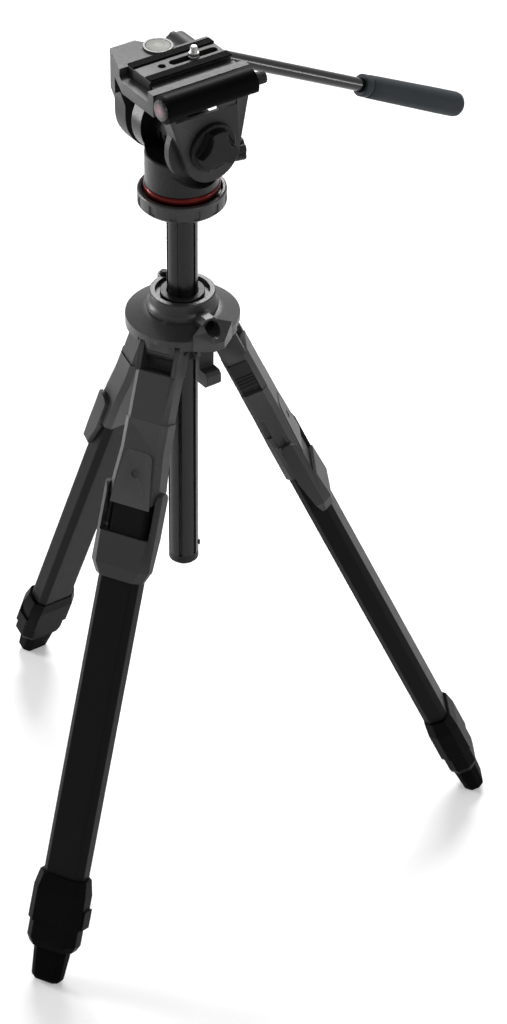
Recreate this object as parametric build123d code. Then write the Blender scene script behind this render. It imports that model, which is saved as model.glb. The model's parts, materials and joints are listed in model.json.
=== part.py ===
from build123d import *
import os
from math import cos, radians, sin, sqrt

# A video tripod with three telescoped legs, a sliding centre column and a fluid head with a pan bar.
# Millimetres. While modelled, the column axis is Z through the origin, the head faces -Y and its
# pan bar trails towards +Y. Legs, hub and head are each drawn in a frame of their own, named below.

# ---- stance ----
leg_count = 3
first_leg_azimuth = 60.0
leg_spread = 24.6            # angle of a leg from the vertical at its first stop
leg_length = 561.0           # hip hinge to sole, legs telescoped
hip_radius = 32.0            # hip hinge axis from the column axis

# ---- leg tubes: width is tangential, depth is radial ----
# Distances along a leg are measured down from the hip hinge.
tube_width = 37.5
tube_depth = 22.0
tube_corner = 5.0
tube_wall = 1.6
tube_gap = 0.5               # between one tube and the next
tube_top = 130.0
tube_end_margin = 81.0       # from the end of the outer tube to the sole
middle_tube_lag = 8.0        # how far each inner tube starts below the tube around it

# ---- leg shoulder, the casting whose two ears hold the hub's lug ----
ear_radius = 10.5
ear_web_start = 12.5
ear_web_back = -9.0
ear_web_thickness = 4.0
shoulder_top = 22.0
shoulder_end = 62.5
shoulder_width = 36.5
shoulder_depth = 24.0
shoulder_corner = 4.5
shoulder_plug = 12.0
hip_pin_radius = 4.0
hip_pin_inset = 0.5
hinge_clearance = 0.06
seat_gap = 0.04              # round a part that is pressed or glued into its seat

# ---- sliding tab that frees the leg from its stop ----
tab_start = 29.0
tab_length = 26.0
tab_width = 16.5
tab_thickness = 4.6
tab_recess_depth = 4.0
tab_travel = 7.5
tab_clearance = 0.3
tab_offset = -1.0
tab_ridges = 4
tab_ridge_depth = 0.9

# ---- leg clamp, the casting that holds the outer tube ----
neck_width = 38.5
neck_waist = 88.0
body_width = 44.0
body_flare = 118.0
body_front_end = 135.0
body_end = 156.0
body_chin = 9.0
body_cheek_front = 3.0
core_width = 28.0
core_depth = 7.0
core_offset = -5.5
pad_start = 88.0
pad_root = 24.0
pad_tip = 36.0
pad_rise = 0.7
dimple_start = 107.0
dimple_radius = 3.6
key_start = 91.0
key_length = 18.0
key_depth = 0.6
notch_start = 112.0
notch_length = 9.0
notch_depth = 1.2

# ---- leg lock lever, a fork pivoted on the flanks of the clamp ----
lever_axis = 126.0
lever_axis_height = 4.5
lever_root_radius = 7.5
lever_width = 53.0
lever_corner = 7.0
lever_front_top = 12.5
lever_front = 15.5
lever_chin = 187.0
lever_end = 198.0
chin_width = 43.0
chin_front = 13.0
window_end = 160.0
lever_back_end = 3.0
lever_clearance = 0.3
lever_pin_radius = 2.5
lever_pin_reach = 4.0

# ---- tube collars and feet ----
upper_collar_length = 44.0
lower_collar_length = 22.0
foot_length = 32.0
collar_width = 49.0
collar_back = 11.6
collar_front = 15.0
collar_corner = 7.0
collar_bevel = 14.0
collar_round = 5.0
collar_clearance = 0.3
collar_rib = 1.8
collar_rib_length = 17.0
lower_collar_width = 46.0
lower_collar_front = 14.0
lower_collar_bevel = 6.0
collar_hold = 11.0           # length of tube held in the lower collar
foot_width = 31.0
foot_depth = 21.0
foot_sole_width = 27.0
foot_sole_depth = 17.5
foot_round = 6.0
foot_corner = 5.0
foot_socket = 12.0

# ---- hub: heights are above the hip hinges ----
hub_boss_radius = 20.0
hub_boss_bottom = -20.0
hip_lug_radius = 11.0
hip_lug_width = 27.0
hip_lug_gap = 0.4            # between the lug and each ear of the leg
hip_lug_groove = 0.6
flange_radius = 43.8
flange_underside = 12.5
flange_thickness = 2.0
skirt_radius = 47.2
skirt_wall = 3.0
skirt_rim_bottom = 6.5
skirt_rim_top = 15.5
skirt_top = 22.0
skirt_bore = 24.0
skirt_notch_gap = 0.7
skirt_notch_height = 3.6
ring_foot_radius = 29.6
ring_radius = 27.4
ring_top = 37.0
ring_bore = 22.5
ring_floor = 33.0
ring_lip = 1.0
bushing_wall = 2.0
bushing_flange_radius = 18.5
bushing_flange = 3.5
column_clearance = 0.08
button_radius = 3.5
button_height = 7.0
button_travel = 2.0
button_wall = 2.0
button_gap = 0.3

# ---- accessory socket lug and column lock lever, between two legs ----
lug_inner = 26.0
lug_width = 15.6
lug_top = 29.6
fan_inner = 37.0
fan_inner_width = 6.0
fan_rim = 44.0
fan_rim_width = 38.0
fan_outer = 54.0
fan_nose_width = 10.0
fan_crest = 27.5
fan_nose_top = 13.5
socket_face = 40.0
socket_thread_radius = 4.76
socket_radius = 6.4
socket_height = 22.5
socket_depth = 8.5
lock_axis_radius = 32.5
lock_axis_height = -1.0
lock_barrel_radius = 5.0
lock_pin_radius = 2.5
lock_arm_width = 14.0
lock_arm_thickness = 6.0
lock_arm_length = 33.0
lock_tab_reach = 11.0
lock_tab_height = 14.0
lock_ear_thickness = 3.0
lock_gap = 0.3

# ---- centre column ----
column_radius = 12.75
column_wall = 2.2
column_length = 347.0
column_rise = 119.0          # top of the column above the hip hinges
column_groove_width = 3.2
column_groove_depth = 1.1
column_grooves = 6
cap_drop = 9.0
cap_bevel = 2.0
cap_valley_width = 6.0
cap_valley_depth = 1.5
cap_plug = 10.0
cap_feet = 3
stop_button_radius = 2.2
stop_button_proud = 1.3
stop_button_azimuth = 55.0
stop_button_height = 7.0

# ---- head mount and head: heights are above the top of the column tube ----
mount_floor = 9.0
mount_rim_top = 15.3
mount_radius = 36.0
mount_rim_radius = 32.4
mount_taper = 3.0
mount_notches = 12
mount_notch_depth = 1.2
mount_edge = 1.0
index_ring_top = 20.8
index_ring_radius = 31.0
index_ring_bevel = 1.2
spindle_radius = 8.0
spindle_clearance = 0.08
turning_gap = 0.3

# ---- fluid head, pan part ----
base_radius = 30.0
base_top = 49.0
base_edge = 1.2
tilt_axis_y = 6.0
tilt_axis_z = 66.0
drum_radius = 32.0
drum_outer = -33.0
drum_inner = -19.5
spring_radius = 21.0
spring_outer = 18.8
spring_ribs = 5
spring_rib_depth = 4.0
tilt_shaft_radius = 6.0
shaft_clearance = 0.08
pan_knob_azimuth = 77.5
pan_knob_start = 42.0
pan_knob_end = 52.0
pan_knob_radius = 9.5
pan_knob_z = 38.5
knob_stem_radius = 4.0
stem_clearance = 0.06
stem_depth = 14.0

# ---- fluid head, tilting part ----
cheek_toe_radius = 25.5
cheek_toe_y = 7.5
cheek_toe_z = 59.0
cheek_front = -35.0
cheek_back = 42.0
cheek_clearance = 1.0
cheek_step = 6.0
cheek_bulge_radius = 35.5
cheek_swing_radius = 38.8    # clears the flank's corner at full forward tilt
cheek_bulge_bottom = 47.0
left_cheek_inner = 20.0
left_cheek_outer = 33.0
cheek_window_z = 96.5
cheek_window_front = -27.0
cheek_window_back = 30.0
cheek_window_drop = 8.0
right_cheek_inner = -42.5
right_cheek_outer = -58.0
right_cheek_front = -25.4
right_cheek_shoulder = 90.0
right_cheek_shoulder_front = -30.0
right_cheek_waist = 76.0
right_cheek_radius = 39.0
right_cheek_draft = 7.0
right_cheek_draft_z = 52.0
right_cheek_back = 22.0
right_cheek_back_z = 90.0
right_cheek_relief = 14.5
right_cheek_relief_z = 96.5
shaft_end = -52.0
slab_bottom = 105.0
slab_top = 115.0
slab_front = -44.5
slab_back = 45.0
slab_left = 28.0
block_top = 121.5
block_front = -29.0
block_back = -6.0
plate_shoulder = -25.5
rail_inner = 20.0
rail_top = 124.0
jaw_inner = 10.5
jaw_top = 120.0
rosette_y = 31.0
rosette_z = 110.5
rosette_radius = 9.5
rosette_face = -32.0
tilt_knob_radius = 20.5
tilt_knob_end = 46.5
tilt_knob_disc = 5.0
tilt_knob_edge = 1.2
tilt_grip_radius = 18.0
tilt_grip_lobes = 3
tilt_grip_scallop = 15.0
tilt_grip_depth = 8.0
tilt_grip_turn = 90.0

# ---- plate lock barrel along the left side ----
barrel_x = 40.0
barrel_z = 117.0
barrel_radius = 11.7
barrel_front = -44.0
barrel_back = 38.5
barrel_flat = 5.2            # from the barrel axis down to the flat under it
barrel_nose = 17.0
barrel_axle_radius = 4.0
barrel_axle_front = -34.0
barrel_cap_length = 3.0
barrel_cap_radius = 8.6
barrel_lug = 3.2
drag_knob_radius = 5.2
drag_knob_length = 8.0
drag_knob_lobes = 12
drag_stem_radius = 2.0
drag_stem_length = 3.0

# ---- quick plate ----
plate_front = -34.0
plate_back = 42.0
plate_x = -8.0
plate_width = 33.0
plate_top = 123.5
plate_dovetail = 2.0
pad_width = 7.8
pad_thickness = 1.5
plate_slot_width = 7.0
plate_slot_front = -2.0
plate_slot_back = 35.0
plate_hole_y = -13.0
plate_hole_radius = 3.0
screw_y = 17.0
screw_radius = 3.175
screw_reach = 5.5
screw_tip = 0.6
screw_collar_radius = 4.4
screw_collar_top = 126.8
screw_neck_radius = 3.2
screw_head_radius = 6.5
screw_head = 2.4
screw_pocket = 3.0
screw_pocket_gap = 0.3

# ---- bubble level ----
level_x = -38.5
level_y = 3.5
level_radius = 12.0
level_boss = 1.2
level_seat = 2.0
level_rise = 1.8
vial_radius = 10.4
vial_floor = 1.0
vial_rise = 2.4

# ---- pan bar: distances are from the rosette axis ----
bar_drop = 26.5              # below the horizontal
bar_offset = 7.5             # from the rosette's face to the middle of the bar
bar_clamp_thickness = 22.0
bar_clamp_radius = 10.2
bar_clamp_edge = 1.5
bar_socket_radius = 8.6
bar_socket_length = 27.0
bar_radius = 5.75
bar_length = 205.0
bar_insert = 16.0
grip_start = 193.0
grip_length = 117.0
grip_radius = 9.6
grip_end_radius = 10.8
grip_mouth = 1.2
grip_grooves = 4
grip_groove_depth = 0.6
clamp_knob_radius = 6.8
clamp_knob_length = 6.0

# ---- worked out from the sizes above ----
collar_end = leg_length - foot_length
collar_split = collar_end - lower_collar_length
collar_start = collar_split - upper_collar_length
tube_bottom = leg_length - tube_end_margin
hip_height = (
    (leg_length - foot_round) * cos(radians(leg_spread))
    + (foot_sole_depth / 2 - foot_round) * sin(radians(leg_spread))
    + foot_round
)
tube_step = tube_wall + tube_gap
bushing_radius = column_radius + column_clearance + bushing_wall
skirt_underside = flange_underside + flange_thickness
bar_x = rosette_face - bar_offset
barrel_lug_end = barrel_back + turning_gap + barrel_lug
overshoot = 1.0              # how far a cutting tool passes the face that it opens


# ---- building blocks ----
def block(x_from, x_to, y_from, y_to, z_from, z_to):
    """A box between six faces."""
    centre = Pos((x_from + x_to) / 2, (y_from + y_to) / 2, (z_from + z_to) / 2)
    return centre * Box(x_to - x_from, y_to - y_from, z_to - z_from)


def rod_z(radius, z_from, z_to, x=0.0, y=0.0):
    return Pos(x, y, (z_from + z_to) / 2) * Cylinder(radius, z_to - z_from)


def rod_x(radius, x_from, x_to, y=0.0, z=0.0):
    return Pos((x_from + x_to) / 2, y, z) * Rot(0, 90, 0) * Cylinder(radius, x_to - x_from)


def rod_y(radius, y_from, y_to, x=0.0, z=0.0):
    return Pos(x, (y_from + y_to) / 2, z) * Rot(90, 0, 0) * Cylinder(radius, y_to - y_from)


def turned(points):
    """A solid of revolution about Z from its half section, given as (radius, height) points."""
    return revolve(make_face(Plane.XZ * Polyline(*points, close=True)), Axis.Z)


def lobed(radius, lobes, cut_radius, cut_depth):
    """A knob outline: a disc with finger scallops."""
    scallops = PolarLocations(radius + cut_radius - cut_depth, lobes, start_angle=180 / lobes)
    return Circle(radius) - scallops * Circle(cut_radius)


def section(width, depth, corner):
    """The cut-cornered section of a leg, depth along X and width along Y."""
    return chamfer(Rectangle(depth, width).vertices(), corner)


def shell_section(width, back, front, corner):
    """A cut-cornered section that reaches back and front from the leg axis."""
    return Pos((front - back) / 2, 0) * section(width, front + back, corner)


def tube_section(inset):
    """The section of the outermost leg tube, made smaller all round by an inset."""
    corner = tube_corner - inset * (2 - sqrt(2))
    return section(tube_width - 2 * inset, tube_depth - 2 * inset, corner)


def prism(outline, start, end):
    """An outline carried along the leg between two distances from the hip hinge."""
    return Pos(0, 0, -end) * extrude(outline, end - start)


def taper(first, start, second, end):
    """A straight-sided loft along the leg between two sections."""
    return loft([Pos(0, 0, -start) * first, Pos(0, 0, -end) * second], ruled=True)


def mirrored(piece):
    """A piece and its twin on the other side of the XZ plane."""
    return piece + piece.mirror(Plane.XZ)


# ---- leg parts, in the frame of one leg: X outwards, Y tangential, Z up the leg, hip hinge at 0 ----
def shoulder():
    reach = shoulder_top + overshoot
    side = Circle(ear_radius) + Pos(0, -reach / 2) * Rectangle(2 * ear_radius, reach)
    ears = extrude(Plane.XZ * side, shoulder_width / 2, both=True)
    gap = hip_lug_width / 2 + hip_lug_gap
    ears -= block(-shoulder_depth, shoulder_depth, -gap, gap, -shoulder_top, shoulder_depth)
    ears += block(
        ear_web_back, ear_web_back + ear_web_thickness, -gap - overshoot, gap + overshoot,
        -reach, -ear_web_start,
    )
    body = prism(section(shoulder_width, shoulder_depth, shoulder_corner), shoulder_top, shoulder_end)
    hole = rod_y(hip_pin_radius + hinge_clearance, -shoulder_width, shoulder_width)
    return ears + body + core(shoulder_end, shoulder_end + shoulder_plug) - hole - tab_recess()


def core(start, end):
    """The middle of the leg casting, where its clamp rod runs."""
    return prism(Pos(core_offset, 0) * Rectangle(core_depth, core_width), start, end)


def tab_recess():
    side = -shoulder_width / 2
    half = tab_width / 2 + tab_clearance
    return block(
        tab_offset - half, tab_offset + half, side - overshoot, side + tab_recess_depth,
        -(tab_start + tab_length + tab_travel + tab_clearance), -(tab_start - tab_clearance),
    )


def angle_tab():
    back = -shoulder_width / 2 + tab_recess_depth
    front = back - tab_thickness
    end = -(tab_start + tab_length)
    half = tab_width / 2
    tab = block(tab_offset - half, tab_offset + half, front, back, end, -tab_start)
    pitch = tab_length / 2 / tab_ridges
    for ridge in range(tab_ridges):
        z = end + pitch * (ridge + 0.75)
        tab -= block(
            tab_offset - tab_width, tab_offset + tab_width,
            front - overshoot, front + tab_ridge_depth, z - pitch / 4, z + pitch / 4,
        )
    return tab


def front_pad():
    """The raised panel on the front of the clamp."""
    root = pad_root / 2
    tip = pad_tip / 2
    outline = make_face(Polyline(
        (root, -pad_start), (tip, -body_front_end), (-tip, -body_front_end), (-root, -pad_start),
        close=True,
    ))
    outline = fillet(outline.vertices().group_by(Axis.Y)[-1], root / 2)
    face = shoulder_depth / 2
    pad = Pos(face, 0, 0) * extrude(Plane.YZ * outline, pad_rise)
    return pad - rod_x(dimple_radius, face, face + 2 * pad_rise, 0, -dimple_start)


def clamp_body():
    """A neck that widens towards the tube socket, with cheeks beside the tube below its front edge."""
    neck = section(neck_width, shoulder_depth, shoulder_corner)
    wide = section(body_width, shoulder_depth, shoulder_corner)
    body = prism(neck, shoulder_end, neck_waist)
    body += taper(neck, neck_waist, wide, body_flare)
    body += prism(wide, body_flare, body_end)
    body -= block(
        body_cheek_front, shoulder_depth, -body_width, body_width, -body_end - overshoot, -body_front_end
    )
    half = body_width / 2 + overshoot
    corner = make_face(Polyline(
        (half, -body_front_end + body_chin),
        (half, -body_front_end),
        (half - body_chin, -body_front_end),
        close=True,
    ))
    corner = Pos(body_cheek_front, 0, 0) * extrude(Plane.YZ * corner, shoulder_depth)
    return body - mirrored(corner)


def clamp_housing():
    housing = clamp_body() + front_pad()
    housing -= prism(tube_section(0), tube_top, body_end + overshoot)
    housing -= core(shoulder_end - overshoot, tube_top + overshoot)
    inner = body_width / 2 - lever_pin_reach
    pivot = rod_y(
        lever_pin_radius + hinge_clearance, inner, body_width, lever_axis_height, -lever_axis
    )
    return housing - mirrored(pivot) - flank_details()


def lever_profile():
    """The lever seen from the side: a rounded arm that drops into a chin."""
    back = lever_axis_height - lever_root_radius
    side = make_face(Polyline(
        (back, -lever_axis),
        (back, -window_end),
        (lever_back_end, -lever_end),
        (chin_front, -lever_end),
        (lever_front, -lever_chin),
        (lever_front_top, -lever_axis),
        close=True,
    ))
    return side + Pos(lever_axis_height, -lever_axis) * Circle(lever_root_radius)


def clamp_lever():
    """The fork: two arms beside the clamp, joined by a chin across the front of the tube."""
    half = lever_width / 2
    fork = extrude(Plane.XZ * lever_profile(), half, both=True)
    top = lever_axis - lever_root_radius - overshoot
    back = 2 * lever_root_radius
    envelope = prism(shell_section(lever_width, back, lever_front, lever_corner), top, lever_chin)
    envelope += taper(
        shell_section(lever_width, back, lever_front, lever_corner), lever_chin,
        shell_section(chin_width, back, chin_front, lever_corner), lever_end,
    )
    fork &= envelope
    arm = body_width / 2 + lever_clearance
    fork -= prism(Rectangle(4 * lever_front, 2 * arm), top - overshoot, window_end)
    fork -= prism(tube_section(-lever_clearance), window_end - overshoot, lever_end + overshoot)
    fork -= block(
        -back, 0, -tube_width / 2 - lever_clearance, tube_width / 2 + lever_clearance,
        -lever_end - overshoot, -window_end + overshoot,
    )
    inner = body_width / 2 - lever_pin_reach + lever_clearance
    return fork + mirrored(
        rod_y(lever_pin_radius, inner, arm + overshoot, lever_axis_height, -lever_axis)
    )


def flank_details():
    """A key plate's seat and a notch above the lever arm, on one flank of the clamp."""
    key_face = neck_width / 2 + (key_start - neck_waist) / (body_flare - neck_waist)
    key = block(
        -shoulder_depth / 2 + shoulder_corner / 2, -shoulder_corner,
        -body_width, key_depth - key_face, -(key_start + key_length), -key_start,
    )
    notch = block(
        -shoulder_corner, shoulder_corner, -body_width, notch_depth - body_width / 2,
        -(notch_start + notch_length), -notch_start,
    )
    return key + notch


def leg_tube(index):
    """One of the three nested tubes, 0 outermost."""
    start = tube_top + index * middle_tube_lag
    end = [tube_bottom, collar_split + collar_hold, collar_end + foot_socket][index]
    outer = tube_section(index * tube_step)
    inner = tube_section(index * tube_step + tube_wall)
    return prism(outer - inner, start, end)


def upper_collar():
    body = shell_section(collar_width, collar_back + collar_bevel / 10, collar_front, collar_corner)
    brow = shell_section(
        collar_width - collar_round, collar_back, collar_front - collar_round / 3, collar_corner
    )
    collar = taper(brow, collar_start, body, collar_start + collar_bevel)
    collar += prism(body, collar_start + collar_bevel, collar_split)
    rib_end = collar_split - overshoot
    collar += block(
        -collar_corner, collar_corner, collar_width / 2 - overshoot, collar_width / 2 + collar_rib,
        -rib_end, -(rib_end - collar_rib_length),
    )
    collar -= prism(tube_section(0), collar_start - overshoot, tube_bottom)
    return collar - prism(tube_section(tube_step - collar_clearance), tube_bottom, collar_split + overshoot)


def lower_collar():
    body = shell_section(lower_collar_width, collar_back, lower_collar_front, collar_corner)
    chin = shell_section(
        lower_collar_width - lower_collar_bevel, collar_back, lower_collar_front - overshoot, collar_corner
    )
    waist = collar_end - lower_collar_bevel
    collar = prism(body, collar_split, waist)
    collar += taper(body, waist, chin, collar_end)
    middle = collar_split + collar_hold
    collar -= prism(tube_section(tube_step), collar_split - overshoot, middle)
    return collar - prism(tube_section(2 * tube_step - collar_clearance), middle, collar_end + overshoot)


def foot():
    top = section(foot_width, foot_depth, foot_corner)
    sole = section(foot_sole_width, foot_sole_depth, foot_corner)
    body = taper(top, collar_end, sole, leg_length)
    body = fillet(body.edges().group_by(Axis.Z)[0], foot_round)
    return body - prism(tube_section(2 * tube_step), collar_end - overshoot, collar_end + foot_socket)


def leg_place(index):
    azimuth = first_leg_azimuth + index * 360 / leg_count
    return Rot(0, 0, azimuth) * Pos(hip_radius, 0, hip_height) * Rot(0, -leg_spread, 0)


def leg_nodes(index):
    place = leg_place(index)
    pieces = {
        "shoulder": shoulder(),
        "angle_tab": angle_tab(),
        "clamp": clamp_housing(),
        "lever": clamp_lever(),
        "upper_tube": leg_tube(0),
        "middle_tube": leg_tube(1),
        "lower_tube": leg_tube(2),
        "upper_collar": upper_collar(),
        "lower_collar": lower_collar(),
        "foot": foot(),
    }
    return {f"leg_{index + 1}_{name}": place * piece for name, piece in pieces.items()}


# ---- hub, in its own frame: Z up the column axis, hip hinges at height 0 ----
def around_hub(piece):
    """A piece repeated at each leg, made for a leg along X."""
    return [Rot(0, 0, first_leg_azimuth + i * 360 / leg_count) * piece for i in range(leg_count)]


def hip_lug():
    """The round-ended lug that a leg's ears turn on, with a groove along its nose."""
    half = hip_lug_width / 2
    outer = hip_radius + hip_lug_radius
    lug = rod_y(hip_lug_radius, -half, half, hip_radius, 0)
    lug += block(hub_boss_radius / 2, hip_radius, -half, half, -hip_lug_radius, flange_underside)
    lug += block(hip_radius, outer, -half, half, 0, flange_underside)
    lug -= block(
        outer - hip_lug_groove, outer + overshoot, -hip_lug_width, hip_lug_width,
        -hip_lug_groove, hip_lug_groove,
    )
    return lug & rod_z(flange_radius, -hip_lug_radius, flange_underside)


def hub_casting():
    casting = rod_z(hub_boss_radius, hub_boss_bottom, flange_underside)
    casting += rod_z(flange_radius, flange_underside, skirt_underside)
    for lug in around_hub(hip_lug()):
        casting += lug
    inner = lock_arm_width / 2 + lock_gap
    lock_ear = block(
        lock_axis_radius - lock_barrel_radius, lock_axis_radius + lock_barrel_radius,
        inner, inner + lock_ear_thickness, lock_axis_height - lock_barrel_radius, flange_underside,
    )
    casting += mirrored(lock_ear)
    casting -= lock_pin()
    for pin in around_hub(hip_pin()):
        casting -= pin
    return casting - rod_z(bushing_radius, hub_boss_bottom - overshoot, skirt_top)


def hip_pin():
    reach = shoulder_width / 2 - hip_pin_inset
    return rod_y(hip_pin_radius, -reach, reach, hip_radius, 0)


def lock_pin():
    reach = lock_arm_width / 2 + lock_gap + lock_ear_thickness
    return rod_y(lock_pin_radius, -reach, reach, lock_axis_radius, lock_axis_height)


def hinge_pins():
    return Compound([pin.solid() for pin in [*around_hub(hip_pin()), lock_pin()]])


def hub_skirt():
    shell = turned([
        (skirt_radius, skirt_rim_bottom),
        (skirt_radius, skirt_rim_top),
        (ring_foot_radius, skirt_top),
        (skirt_bore, skirt_top),
        (skirt_bore, skirt_underside),
        (skirt_radius - skirt_wall, skirt_underside),
        (skirt_radius - skirt_wall, skirt_rim_bottom),
    ])
    lug = block(lug_inner, socket_face, -lug_width / 2, lug_width / 2, skirt_underside, lug_top)
    lug = chamfer(lug.edges().filter_by(Axis.X).group_by(Axis.Z)[-1], lug_width / 4)
    shell += lug - rod_z(ring_foot_radius + seat_gap, skirt_top, lug_top + overshoot)
    shell += socket_fan()
    half = shoulder_width / 2 + skirt_notch_gap
    notch = block(
        hip_radius, 2 * skirt_radius, -half, half,
        skirt_rim_bottom - overshoot, skirt_rim_bottom + skirt_notch_height,
    )
    for cut in around_hub(notch):
        shell -= cut
    return shell - rod_x(socket_radius, socket_face - socket_depth, fan_outer, 0, socket_height)


def socket_fan():
    """The block above the lock lever: it fans out and slopes down to past the rim."""
    plan = make_face(Polyline(
        (fan_inner, fan_inner_width / 2),
        (fan_rim, fan_rim_width / 2),
        (fan_outer, fan_nose_width / 2),
        (fan_outer, -fan_nose_width / 2),
        (fan_rim, -fan_rim_width / 2),
        (fan_inner, -fan_inner_width / 2),
        close=True,
    ))
    side = make_face(Polyline(
        (fan_inner, skirt_rim_bottom),
        (fan_inner, fan_crest),
        (fan_outer, fan_nose_top),
        (fan_outer, skirt_rim_bottom),
        close=True,
    ))
    fan = Pos(0, 0, skirt_rim_bottom) * extrude(plan, fan_crest)
    fan &= extrude(Plane.XZ * side, fan_rim_width, both=True)
    return fan - rod_z(skirt_radius - skirt_wall, skirt_rim_bottom - overshoot, skirt_underside)


def accessory_socket():
    insert = rod_x(socket_radius, socket_face - socket_depth, socket_face, 0, socket_height)
    return insert - rod_x(
        socket_thread_radius, socket_face - socket_depth + overshoot, socket_face + overshoot, 0, socket_height
    )


def hub_ring():
    height = ring_top - skirt_top
    ring = turned([
        (ring_foot_radius, skirt_top),
        (ring_foot_radius, skirt_top + height / 4),
        (ring_radius, skirt_top + height / 2),
        (ring_radius, ring_top - ring_lip),
        (ring_radius - ring_lip, ring_top),
        (ring_bore, ring_top),
        (ring_bore, ring_floor),
        (bushing_radius + seat_gap, ring_floor),
        (bushing_radius + seat_gap, skirt_top),
    ])
    ring += rod_z(button_radius + button_wall, skirt_top, ring_top, -ring_radius, 0)
    return ring - rod_z(
        button_radius + button_gap, ring_top - button_height, ring_top + overshoot, -ring_radius, 0
    )


def release_button():
    bottom = ring_top - button_height + button_travel
    button = rod_z(button_radius, bottom, bottom + button_height + button_travel / 2, -ring_radius, 0)
    return chamfer(button.edges().group_by(Axis.Z)[-1], button_radius / 4)


def column_bushing():
    sleeve = rod_z(bushing_radius, hub_boss_bottom, ring_floor + bushing_flange)
    sleeve += rod_z(bushing_flange_radius, ring_floor, ring_floor + bushing_flange)
    return sleeve - rod_z(
        column_radius + column_clearance, hub_boss_bottom - overshoot, ring_floor + 2 * bushing_flange
    )


def column_lock_lever():
    half = lock_arm_width / 2
    low = lock_axis_height - lock_arm_length
    inner = lock_axis_radius - lock_arm_thickness / 2
    outer = lock_axis_radius + lock_arm_thickness / 2
    lever = rod_y(lock_barrel_radius, -half, half, lock_axis_radius, lock_axis_height)
    lever += block(inner, outer, -half, half, low, lock_axis_height)
    tab = block(outer - overshoot, outer + lock_tab_reach, -half, half, low, low + lock_tab_height)
    lever += chamfer(tab.edges().filter_by(Axis.Y).group_by(Axis.X)[-1], lock_arm_thickness / 2)
    return lever - rod_y(
        lock_pin_radius + hinge_clearance, -lock_arm_width, lock_arm_width,
        lock_axis_radius, lock_axis_height,
    )


def hub_nodes():
    pieces = {
        "hub_casting": hub_casting(),
        "hub_skirt": hub_skirt(),
        "hub_ring": hub_ring(),
        "release_button": release_button(),
        "column_bushing": column_bushing(),
        "hinge_pins": hinge_pins(),
        "accessory_socket": accessory_socket(),
        "column_lock_lever": column_lock_lever(),
    }
    return {name: Pos(0, 0, hip_height) * piece for name, piece in pieces.items()}


# ---- centre column and head, in the head frame: height 0 is the top of the column tube ----
def center_column():
    outline = Circle(column_radius) - Circle(column_radius - column_wall)
    grooves = PolarLocations(column_radius, column_grooves, start_angle=15)
    outline -= grooves * Rectangle(2 * column_groove_depth, column_groove_width)
    tube = Pos(0, 0, -column_length) * extrude(outline, column_length)
    return tube - stop_button(column_wall)


def stop_button(depth):
    """The stud near the foot of the column that stops it at the bushing."""
    stud = rod_x(
        stop_button_radius, column_radius - depth - overshoot, column_radius + stop_button_proud,
        0, -column_length + stop_button_height,
    )
    return Rot(0, 0, stop_button_azimuth) * stud


def column_end_cap():
    cap = rod_z(column_radius, -column_length - cap_drop, -column_length)
    cap = chamfer(cap.edges().group_by(Axis.Z)[0], cap_bevel)
    bottom = -column_length - cap_drop
    valley = block(
        column_radius / 3, 2 * column_radius, -cap_valley_width / 2, cap_valley_width / 2,
        bottom - overshoot, bottom + cap_valley_depth,
    )
    for index in range(cap_feet):
        cap -= Rot(0, 0, stop_button_azimuth + index * 360 / cap_feet) * valley
    plug = rod_z(column_radius - column_wall, -column_length, -column_length + cap_plug)
    return cap + plug + stop_button(column_wall)


def mounting_collar():
    collar = turned([
        (0, 0),
        (mount_radius - mount_taper, 0),
        (mount_radius, mount_taper),
        (mount_radius, mount_rim_top - mount_edge),
        (mount_radius - mount_edge, mount_rim_top),
        (mount_rim_radius, mount_rim_top),
        (mount_rim_radius, mount_floor),
        (0, mount_floor),
    ])
    notch_height = mount_rim_top / 2
    notch = Pos(mount_radius, 0, mount_rim_top - notch_height) * Box(
        2 * mount_notch_depth, mount_radius / 6, notch_height
    )
    for index in range(mount_notches):
        collar -= Rot(0, 0, (index + 0.5) * 360 / mount_notches) * notch
    return collar


def index_ring():
    bore = spindle_radius + spindle_clearance
    return turned([
        (bore, mount_floor),
        (base_radius - index_ring_bevel, mount_floor),
        (base_radius - index_ring_bevel, mount_rim_top - index_ring_bevel),
        (index_ring_radius, mount_rim_top),
        (index_ring_radius, index_ring_top - index_ring_bevel),
        (base_radius, index_ring_top),
        (bore, index_ring_top),
    ])


def about_tilt_axis(radius, x_from, x_to):
    """A cylinder round the tilt axis."""
    return rod_x(radius, x_from, x_to, tilt_axis_y, tilt_axis_z)


def pan_housing():
    floor = index_ring_top + turning_gap
    base = rod_z(base_radius, floor, base_top)
    base = chamfer(base.edges().group_by(Axis.Z)[-1], base_edge)
    neck = block(
        drum_outer, drum_inner, tilt_axis_y - drum_radius, tilt_axis_y + drum_radius, floor, tilt_axis_z
    )
    base += neck & rod_z(base_radius, floor, tilt_axis_z)
    base -= about_tilt_axis(
        cheek_swing_radius, left_cheek_inner - cheek_clearance, base_radius + overshoot
    )
    base += about_tilt_axis(drum_radius, drum_outer, drum_inner)
    base += rod_z(spindle_radius, mount_floor + turning_gap, floor)
    base -= about_tilt_axis(
        tilt_shaft_radius + shaft_clearance, drum_outer - overshoot, drum_inner + overshoot
    )
    hole = rod_x(
        knob_stem_radius + stem_clearance, base_radius - stem_depth, base_radius + overshoot, 0, pan_knob_z
    )
    return base - Rot(0, 0, pan_knob_azimuth) * hole


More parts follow.
